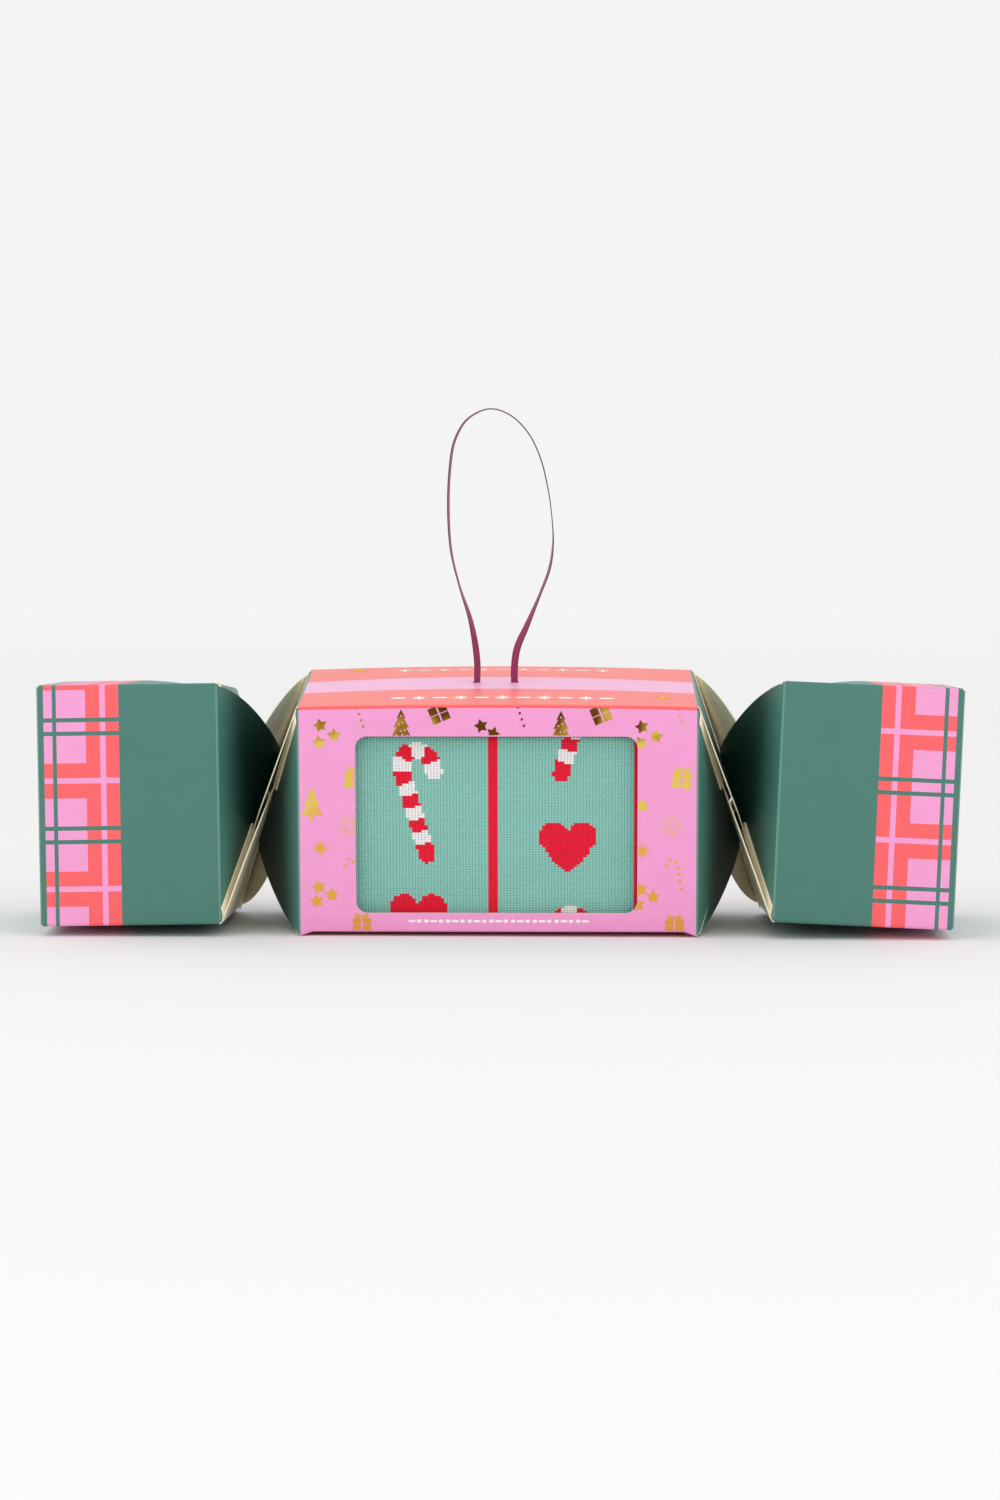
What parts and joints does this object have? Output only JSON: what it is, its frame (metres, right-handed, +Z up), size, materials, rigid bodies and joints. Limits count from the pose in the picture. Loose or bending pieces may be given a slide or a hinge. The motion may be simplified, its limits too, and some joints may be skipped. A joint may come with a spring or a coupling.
{
  "type": "christmas cracker gift box",
  "caption": "Christmas cracker carton of printed board with twisted necks, tuck-lid end boxes, a windowed centre box holding folded socks, and a ribbon loop to hang it by.",
  "frame": {"origin": "on the surface that the carton stands on, under the middle of its outline", "axes": "+X runs along the cracker to the right as seen from the front, +Y from the window towards the back, +Z up"},
  "size_m": [0.3198, 0.0906, 0.1793],
  "materials": {
    "pink_printed_board": "satin",
    "green_printed_board": "satin",
    "bare_board": "matte",
    "satin_ribbon": "satin",
    "knitted_yarn": "matte"
  },
  "bodies": {
    "centre_box": {"centre_sleeve": "pink_printed_board", "centre_glue_flap": "bare_board", "left_neck_top_body_petal": "green_printed_board", "left_neck_front_body_petal": "green_printed_board", "left_neck_bottom_body_petal": "green_printed_board", "left_neck_back_body_petal": "green_printed_board", "right_neck_top_body_petal": "green_printed_board", "right_neck_front_body_petal": "green_printed_board", "right_neck_bottom_body_petal": "green_printed_board", "right_neck_back_body_petal": "green_printed_board", "ribbon_loop": "satin_ribbon", "ribbon_knot": "satin_ribbon", "front_sock": "knitted_yarn", "back_sock": "knitted_yarn"},
    "left_end_box": {"left_end_sleeve": "green_printed_board", "left_end_glue_flap": "bare_board", "left_neck_top_end_petal": "green_printed_board", "left_neck_front_end_petal": "green_printed_board", "left_neck_bottom_end_petal": "green_printed_board", "left_neck_back_end_petal": "green_printed_board"},
    "left_lid": {"left_lid": "green_printed_board"},
    "left_lid_tongue": {"left_lid_tongue": "green_printed_board"},
    "left_upper_dust_flap": {"left_upper_dust_flap": "green_printed_board"},
    "left_lower_dust_flap": {"left_lower_dust_flap": "green_printed_board"},
    "right_end_box": {"right_end_sleeve": "green_printed_board", "right_end_glue_flap": "bare_board", "right_neck_top_end_petal": "green_printed_board", "right_neck_front_end_petal": "green_printed_board", "right_neck_bottom_end_petal": "green_printed_board", "right_neck_back_end_petal": "green_printed_board"},
    "right_lid": {"right_lid": "green_printed_board"},
    "right_lid_tongue": {"right_lid_tongue": "green_printed_board"},
    "right_upper_dust_flap": {"right_upper_dust_flap": "green_printed_board"},
    "right_lower_dust_flap": {"right_lower_dust_flap": "green_printed_board"}
  },
  "joints": [
    {"name": "left_neck_twist", "type": "hinge", "parent": "centre_box", "child": "left_end_box", "pos_m": [-0.08304, 0.00002, 0.04405], "axis": [1, -0.0003, 0.0029], "range_deg": [-10, 8], "stiffness_Nm_per_rad": 1, "deforming": ["left_neck_top_body_petal", "left_neck_front_body_petal", "left_neck_bottom_body_petal", "left_neck_back_body_petal", "left_neck_top_end_petal", "left_neck_front_end_petal", "left_neck_bottom_end_petal", "left_neck_back_end_petal"]},
    {"name": "left_lid_hinge", "type": "hinge", "parent": "left_end_box", "child": "left_lid", "pos_m": [-0.15854, -0.03997, 0.04499], "axis": [-0.0184, 0.0409, 0.999], "range_deg": [0, 120]},
    {"name": "left_tongue_fold", "type": "hinge", "parent": "left_lid", "child": "left_lid_tongue", "pos_m": [-0.15839, 0.03866, 0.04177], "axis": [0.0184, -0.0409, -0.999], "range_deg": [0, 30]},
    {"name": "left_upper_dust_hinge", "type": "hinge", "parent": "left_end_box", "child": "left_upper_dust_flap", "pos_m": [-0.159, 0.00179, 0.08476], "axis": [0.0026, 0.9992, -0.0409], "range_deg": [0, 90]},
    {"name": "left_lower_dust_hinge", "type": "hinge", "parent": "left_end_box", "child": "left_lower_dust_flap", "pos_m": [-0.15748, -0.0016, 0.00195], "axis": [-0.0026, -0.9992, 0.0409], "range_deg": [0, 90]},
    {"name": "right_neck_twist", "type": "hinge", "parent": "centre_box", "child": "right_end_box", "pos_m": [0.08196, -0.00002, 0.04452], "axis": [1, -0.0003, 0.0029], "range_deg": [-10, 8], "stiffness_Nm_per_rad": 1, "deforming": ["right_neck_top_body_petal", "right_neck_front_body_petal", "right_neck_bottom_body_petal", "right_neck_back_body_petal", "right_neck_top_end_petal", "right_neck_front_end_petal", "right_neck_bottom_end_petal", "right_neck_back_end_petal"]},
    {"name": "right_lid_hinge", "type": "hinge", "parent": "right_end_box", "child": "right_lid", "pos_m": [0.15757, -0.03997, 0.04498], "axis": [-0.0421, -0.041, -0.9983], "range_deg": [0, 120]},
    {"name": "right_tongue_fold", "type": "hinge", "parent": "right_lid", "child": "right_lid_tongue", "pos_m": [0.15715, 0.03866, 0.04177], "axis": [0.0421, 0.041, 0.9983], "range_deg": [0, 30]},
    {"name": "right_upper_dust_hinge", "type": "hinge", "parent": "right_end_box", "child": "right_upper_dust_flap", "pos_m": [0.15887, 0.00179, 0.08474], "axis": [0.0059, -0.9992, 0.0408], "range_deg": [0, 90]},
    {"name": "right_lower_dust_hinge", "type": "hinge", "parent": "right_end_box", "child": "right_lower_dust_flap", "pos_m": [0.15538, -0.00161, 0.00198], "axis": [-0.0059, 0.9992, -0.0408], "range_deg": [0, 90]}
  ],
  "couplings": [
    {"joint": "left_tongue_fold", "follows": "left_lid_hinge", "ratio": 0.25},
    {"joint": "left_upper_dust_hinge", "follows": "left_lid_hinge", "ratio": 0.75},
    {"joint": "left_lower_dust_hinge", "follows": "left_lid_hinge", "ratio": 0.75},
    {"joint": "right_tongue_fold", "follows": "right_lid_hinge", "ratio": 0.25},
    {"joint": "right_upper_dust_hinge", "follows": "right_lid_hinge", "ratio": 0.75},
    {"joint": "right_lower_dust_hinge", "follows": "right_lid_hinge", "ratio": 0.75}
  ]
}
